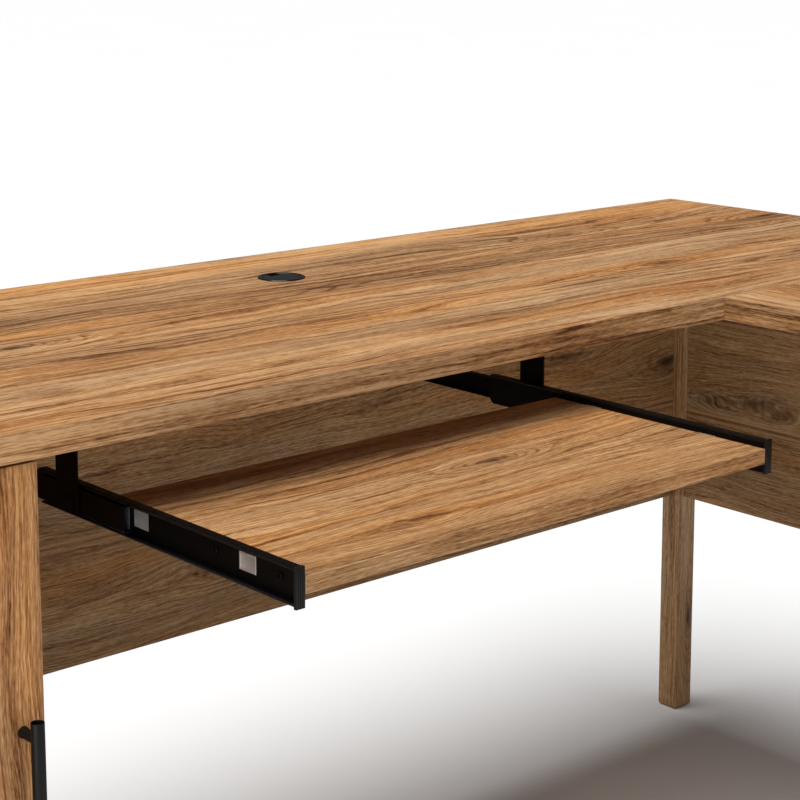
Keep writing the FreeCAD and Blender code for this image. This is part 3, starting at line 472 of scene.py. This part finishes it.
# cable grommet liner: a rounded flange over a thin tube with an inner ledge
liner = {"flange": 0.0275, "tube": 0.0239, "inner": 0.0224, "ledge": 0.0206}
low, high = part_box("grommet_liner")
middle = Vector(((low.x + high.x) / 2, (low.y + high.y) / 2, high.z))
mesh = turned([(liner["flange"], -0.0016), (liner["flange"] - 0.0001, -0.0011),
               (liner["flange"] - 0.0005, -0.0006), (liner["flange"] - 0.0011, -0.0002),
               (liner["flange"] - 0.0020, 0.0), (liner["inner"] + 0.0008, 0.0),
               (liner["inner"] + 0.0002, -0.0003), (liner["inner"], -0.0009),
               (liner["inner"], -0.003), (liner["ledge"], -0.003),
               (liner["ledge"], -0.006), (liner["inner"], -0.006),
               (liner["inner"], low.z - high.z), (liner["tube"], low.z - high.z),
               (liner["tube"], -0.0016)], middle, Vector((0, 0, 1)), 96)
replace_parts(keep(mesh, "grommetLiner", "desk", rimBlack, 50.0), "grommet_liner")

# bar pull: a tube with rounded lips on two posts with flared feet
pull = {"wall": 0.001, "lip": 0.0004, "flare": 0.0006}
low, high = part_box("bar_pull")
middle = Vector(((low.x + high.x) / 2, (low.y + high.y) / 2, low.z))
outer = (high.x - low.x) / 2
tall = high.z - low.z
mesh = turned([(outer, 0.0), (outer, tall), (outer - pull["wall"], tall),
               (outer - pull["wall"], 0.0)], middle, Vector((0, 0, 1)), 64)
bevelEdges(mesh, pull["lip"], 3)
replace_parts(keep(mesh, "barPull", "door", pullBlack), "bar_pull")
low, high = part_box("pull_posts")
postRadius = (high.x - low.x) / 2
posts = bmesh.new()
for z in (low.z + postRadius, high.z - postRadius):
    foot = Vector(((low.x + high.x) / 2, high.y, z))
    mesh = turned([(0.0, 0.0), (postRadius, 0.0), (postRadius, -0.0012),
                   (postRadius - pull["flare"], -0.0022),
                   (postRadius - pull["flare"], low.y - high.y), (0.0, low.y - high.y)],
                  foot, Vector((0, 1, 0)), 48)
    gather(posts, mesh)
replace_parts(keep(posts, "pullPosts", "door", pullBlack), "pull_posts")
print("grommet and pull done")

# end caps of the shelf rails, with upright grooves in front
cap = {"grooves": 3, "groove": 0.0009, "depth": 0.0008, "inset": 0.0002, "round": 0.00035}
for side in ("left", "right"):
    low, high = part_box(side + "_rail_cap")
    mesh = block(low, high)
    pitch = (high.x - low.x) / (cap["grooves"] + 1)
    for index in range(cap["grooves"]):
        for shift in (-0.5, 0.5):
            x = low.x + pitch * (index + 1) + cap["groove"] * shift
            bmesh.ops.bisect_plane(mesh, geom=mesh.verts[:] + mesh.edges[:] + mesh.faces[:],
                                   plane_co=(x, 0, 0), plane_no=(1, 0, 0))
    for index in range(cap["grooves"]):
        x = low.x + pitch * (index + 1)
        face = [f for f in mesh.faces if f.normal.y < -0.9
                and abs(f.calc_center_median().x - x) < cap["groove"] / 2]
        bmesh.ops.inset_region(mesh, faces=face, thickness=cap["inset"], depth=0.0,
                               use_even_offset=True)
        made = bmesh.ops.extrude_discrete_faces(mesh, faces=face)
        bmesh.ops.translate(mesh, vec=(0, cap["depth"], 0),
                            verts=list({v for f in made["faces"] for v in f.verts}))
    bevelEdges(mesh, cap["round"], 2)
    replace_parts(keep(mesh, side + "RailCap", "keyboard_shelf", blackPlastic),
                side + "_rail_cap")

# rolled beads along the top and foot of the shelf rails, and a lip inside; they take the lighter
# pull paint as painted highlights along the black rails
bead = {"radius": 0.0011, "rise": 0.0016, "sunk": 0.0002, "lipIn": 0.0006, "short": 0.006}
for side, outward in (("left", -1), ("right", 1)):
    low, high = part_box(side + "_tray_rail")
    run = high.y - low.y
    x = (low.x if outward < 0 else high.x) - outward * bead["sunk"]
    for index, (z, less) in enumerate(((low.z + bead["rise"], bead["short"]),
                                       (high.z - bead["rise"], 0.0))):
        mesh = roundRod(bead["radius"], run - less, Vector((x, low.y, z)))
        # the lighter pull paint on the beads is a painted highlight
        keep(mesh, side + "RailBead" + str(index), "keyboard_shelf", pullBlack)
    x = (high.x if outward < 0 else low.x) + outward * bead["lipIn"]
    mesh = roundRod(bead["radius"], run, Vector((x, low.y, high.z - bead["radius"])))
    # the lighter pull paint on the lip is a painted highlight
    keep(mesh, side + "RailLip", "keyboard_shelf", pullBlack)

# lock plates with a pressed field
plate = {"wide": 0.022, "round": 0.0002, "rim": 0.0022, "slope": 0.0005, "press": 0.00035}
for side, outward in (("left", -1), ("right", 1)):
    low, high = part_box(side + "_lock_plates")
    both = bmesh.new()
    for start in (low.y, high.y - plate["wide"]):
        mesh = block((low.x, start, low.z), (high.x, start + plate["wide"], high.z))
        face = [f for f in mesh.faces if f.normal.x * outward > 0.9]
        bmesh.ops.inset_region(mesh, faces=face, thickness=plate["rim"], depth=0.0)
        bmesh.ops.inset_region(mesh, faces=face, thickness=plate["slope"], depth=-plate["press"])
        bevelEdges(mesh, plate["round"], 1)
        gather(both, mesh)
    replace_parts(keep(both, side + "LockPlates", "keyboard_shelf", lockPaint),
                side + "_lock_plates")
print("shelf hardware done")

# pan head screws with a cross recess, sized from the plain ones: sizes per head radius, and
# the recess's depth per head height
screw = {"slotLong": 0.62, "slotWide": 0.17, "slotDeep": 0.6, "round": 0.22, "steps": 24}


def panScrew(radius, thick, shank, length):  # head up along z, its seat at z = 0
    low, top = thick * 0.01, thick * 0.999
    mesh = bmesh.new()
    bmesh.ops.create_circle(mesh, cap_ends=True, radius=radius, segments=screw["steps"])
    head = bmesh.ops.extrude_face_region(mesh, geom=mesh.faces[:])["geom"]
    bmesh.ops.translate(mesh, vec=(0, 0, thick), verts=pointsOf(head))
    bmesh.ops.delete(mesh, geom=[face for face in mesh.faces if len(face.verts) > 4
                                 and face.calc_center_median().z < low], context="FACES_ONLY")
    rim = [edge for edge in mesh.edges if all(vert.co.z > thick * 0.9 for vert in edge.verts)]
    bmesh.ops.bevel(mesh, geom=rim, offset=radius * screw["round"], offset_type="OFFSET",
                    affect="EDGES", segments=3, profile=0.5, material=-1)
    # the seat, the shank and its end
    foot = [edge for edge in mesh.edges if all(vert.co.z < low for vert in edge.verts)]
    ring = bmesh.ops.extrude_edge_only(mesh, edges=foot)["geom"]
    bmesh.ops.scale(mesh, vec=(shank / radius, shank / radius, 1), verts=pointsOf(ring))
    ring = bmesh.ops.extrude_edge_only(mesh, edges=edgesOf(ring))["geom"]
    bmesh.ops.translate(mesh, vec=(0, 0, -length), verts=pointsOf(ring))
    bmesh.ops.holes_fill(mesh, edges=edgesOf(ring), sides=0)
    # the cross, cut into the head's top and sunk
    reach, half = radius * screw["slotLong"], radius * screw["slotWide"]
    for place in (-reach, -half, half, reach):
        for way in ((1, 0, 0), (0, 1, 0)):
            faces = [face for face in mesh.faces if face.calc_center_median().z > top]
            edges = [edge for edge in mesh.edges
                     if any(face in faces for face in edge.link_faces)]
            bmesh.ops.bisect_plane(mesh, geom=edges + faces, plane_no=way,
                                   plane_co=Vector(way) * place)
    cross = []
    for face in mesh.faces:
        spot = face.calc_center_median()
        x, y = abs(spot.x), abs(spot.y)
        if spot.z > top and min(x, y) < half and max(x, y) < reach:
            cross.append(face)
    sunk = bmesh.ops.extrude_face_region(mesh, geom=cross)["geom"]
    bmesh.ops.translate(mesh, vec=(0, 0, -thick * screw["slotDeep"]), verts=pointsOf(sunk))
    bmesh.ops.delete(mesh, geom=[face for face in cross if face.is_valid], context="FACES_ONLY")
    return mesh


def islands(name):  # the points of each separate solid of a node
    mesh = bmesh.new()
    mesh.from_mesh(nodes[name].data)
    bmesh.ops.remove_doubles(mesh, verts=mesh.verts, dist=0.00001)
    seen = set()
    groups = []
    for first in mesh.verts:
        if first in seen:
            continue
        seen.add(first)
        group = [first]
        for vert in group:
            for edge in vert.link_edges:
                other = edge.other_vert(vert)
                if other not in seen:
                    seen.add(other)
                    group.append(other)
        groups.append([vert.co.copy() for vert in group])
    mesh.free()
    return groups


def screwsFor(name, body, paint):
    whole = bmesh.new()
    for points in islands(name):
        low = Vector(min(point[i] for point in points) for i in range(3))
        high = Vector(max(point[i] for point in points) for i in range(3))
        middle, size = (low + high) / 2, high - low
        # the screw's axis is the side whose two others are equal
        axis = min(range(3), key=lambda i: abs(size[(i + 1) % 3] - size[(i + 2) % 3]))
        sideA, sideB = (axis + 1) % 3, (axis + 2) % 3
        away = [math.hypot(point[sideA] - middle[sideA], point[sideB] - middle[sideB])
                for point in points]
        radius = max(away)
        wide = [point[axis] for point, far in zip(points, away) if far > radius * 0.97]
        headUp = high[axis] - max(wide) < min(wide) - low[axis]
        thick = max(wide) - min(wide)
        tip = low[axis] if headUp else high[axis]
        shank = max(far for point, far in zip(points, away) if abs(point[axis] - tip) < 0.0004)
        mesh = panScrew(radius, thick, min(shank, radius * 0.9), size[axis] - thick)
        toward = Vector((0, 0, 0))
        toward[axis] = 1.0 if headUp else -1.0
        seat = middle.copy()
        seat[axis] = min(wide) if headUp else max(wide)
        turn = toward.to_track_quat("Z", "Y").to_matrix().to_4x4()
        bmesh.ops.transform(mesh, matrix=Matrix.Translation(seat) @ turn, verts=mesh.verts)
        gather(whole, mesh)
    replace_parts(keep(whole, name + "Cross", body, paint, 40.0), name)


for name, body in (("bracket_screws", "desk"), ("seam_screws", "desk"), ("strap_screws", "desk"),
                   ("stretcher_screws", "desk"), ("pull_screws", "door")):
    screwsFor(name, body, zincPaint)
screwsFor("tray_screws", "keyboard_shelf", blackMetal)
print("screws done")

# the other steel and plastic parts get their edges broken
softened = {"width": 0.0003, "segments": 2, "angle": 50}
for name in ("left_tray_rail", "right_tray_rail", "left_fixed_slide", "right_fixed_slide",
             "left_front_strap", "left_rear_strap", "right_front_strap", "right_rear_strap",
             "corner_brackets", "seam_plates", "grommet_cap", "catch_magnet", "floor_glides"):
    weld = nodes[name].modifiers.new("weld", "WELD")
    weld.merge_threshold = 0.00001
    bevel = nodes[name].modifiers.new("bevel", "BEVEL")
    bevel.width = softened["width"]
    bevel.segments = softened["segments"]
    bevel.limit_method = "ANGLE"
    bevel.angle_limit = math.radians(softened["angle"])

# floor, light and camera
studio = {"sun": 3.75, "sunSoft": 50.0, "sunFrom": (-0.30, -0.12, 1.0),
          "fill": 42.0, "fillAt": (-3.8, -1.0, 0.7), "fillAim": (0.4, 0.3, 0.45),
          "fillSize": (2.4, 1.6), "sky": 0.12, "floor": 0.82, "floorSize": 70.0}
mesh = bmesh.new()
bmesh.ops.create_grid(mesh, x_segments=8, y_segments=8, size=studio["floorSize"])
floor = added("floor", freed(mesh, "floor"))
paint, shader, place = startPaint("paleFloor", 0.85, specular=0.1)
shade = noise(place, (0.8, 0.8, 0.8), 2.0)
mixColor(shade, (studio["floor"] - 0.01,) * 3 + (1.0,),
         (studio["floor"] + 0.01,) * 3 + (1.0,)).feed(shader, "Base Color")
floor.data.materials.append(paint)


def lamp(name, kind, energy, spot, aim, size):
    light = bpy.data.lights.new(name, kind)
    light.energy = energy
    if kind == "SUN":
        light.angle = math.radians(size)
    else:
        light.shape = "RECTANGLE"
        light.size, light.size_y = size
    item = added(name, light)
    item.location = spot
    item.rotation_euler = (Vector(aim) - Vector(spot)).to_track_quat("-Z", "Y").to_euler()


lamp("overheadLight", "SUN", studio["sun"], Vector(studio["sunFrom"]) * 4, (0, 0, 0),
     studio["sunSoft"])
lamp("leftFill", "AREA", studio["fill"], studio["fillAt"], studio["fillAim"],
     studio["fillSize"])
world = bpy.data.worlds.new("studioSky")
bpy.context.scene.world = world
world.use_nodes = True
sky = world.node_tree.nodes["Background"].inputs
sky["Color"].default_value = (1.0, 1.0, 1.0, 1.0)
sky["Strength"].default_value = studio["sky"]
bpy.context.scene.view_settings.view_transform = "Standard"

viewer = {"place": (-1.28067, -1.06117, 1.14581), "yaw": 0.7212, "down": 0.1571,
          "lens": 87.20, "shift": -0.20}
lens = bpy.data.cameras.new("deskCamera")
lens.sensor_width = 36.0
lens.lens = viewer["lens"]
lens.shift_y = viewer["shift"]
camera = added("deskCamera", lens)
ahead = Vector((math.sin(viewer["yaw"]) * math.cos(viewer["down"]),
                math.cos(viewer["yaw"]) * math.cos(viewer["down"]), -math.sin(viewer["down"])))
camera.location = viewer["place"]
camera.rotation_euler = ahead.to_track_quat("-Z", "Y").to_euler()
bpy.context.scene.camera = camera
print("studio done")
